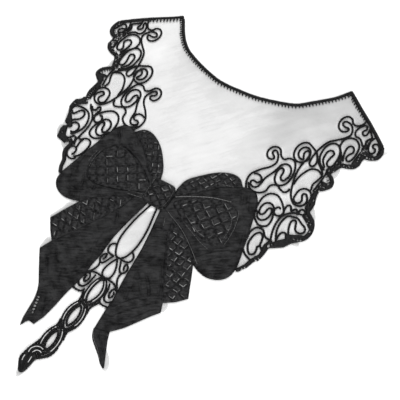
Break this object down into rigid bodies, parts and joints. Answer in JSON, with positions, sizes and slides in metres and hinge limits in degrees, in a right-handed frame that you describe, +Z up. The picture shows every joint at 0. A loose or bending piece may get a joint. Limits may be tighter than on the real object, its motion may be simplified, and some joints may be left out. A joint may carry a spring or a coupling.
{
  "type": "detachable collar",
  "caption": "Flat sheer neckline collar with corded scrollwork, scalloped edges, a large quilted satin bow and a corded pendant.",
  "frame": {"origin": "on the surface the collar lies on, under the middle of its outline", "axes": "+Z up out of the surface, +Y towards the neck, +X to the collar's right-hand side as seen from above"},
  "size_m": [0.3178, 0.4086, 0.0056],
  "materials": {
    "sheer_mesh": "sheer woven mesh",
    "black_satin": "soft satin",
    "black_cord": "stitched cord"
  },
  "bodies": {
    "root": {"bow_knot": "black_satin", "loop_back_left": "black_satin", "loop_back_right": "black_satin", "loop_front_left": "black_satin", "loop_front_right": "black_satin", "loop_inset_left": "black_satin", "loop_inset_right": "black_satin", "mesh_ground": "sheer_mesh", "neck_edge": "black_cord", "pendant_cord": "black_cord", "pendant_cord_2": "black_cord", "pendant_cord_3": "black_cord", "pendant_cord_4": "black_cord", "pendant_cord_5": "black_cord", "pendant_tip": "black_satin", "pendant_tip_2": "black_satin", "scallop_edge_left": "black_cord", "scallop_edge_right": "black_cord", "scroll_left": "black_cord", "scroll_left_10": "black_cord", "scroll_left_2": "black_cord", "scroll_left_3": "black_cord", "scroll_left_4": "black_cord", "scroll_left_5": "black_cord", "scroll_left_6": "black_cord", "scroll_left_7": "black_cord", "scroll_left_8": "black_cord", "scroll_left_9": "black_cord", "scroll_right": "black_cord", "scroll_right_10": "black_cord", "scroll_right_2": "black_cord", "scroll_right_3": "black_cord", "scroll_right_4": "black_cord", "scroll_right_5": "black_cord", "scroll_right_6": "black_cord", "scroll_right_7": "black_cord", "scroll_right_8": "black_cord", "scroll_right_9": "black_cord", "shoulder_edge_left": "black_cord", "shoulder_edge_right": "black_cord", "tail_plain_left": "black_satin", "tail_plain_right": "black_satin", "tail_quilt_left": "black_satin", "tail_quilt_right": "black_satin", "tail_tip_right": "black_satin"}
  },
  "joints": []
}
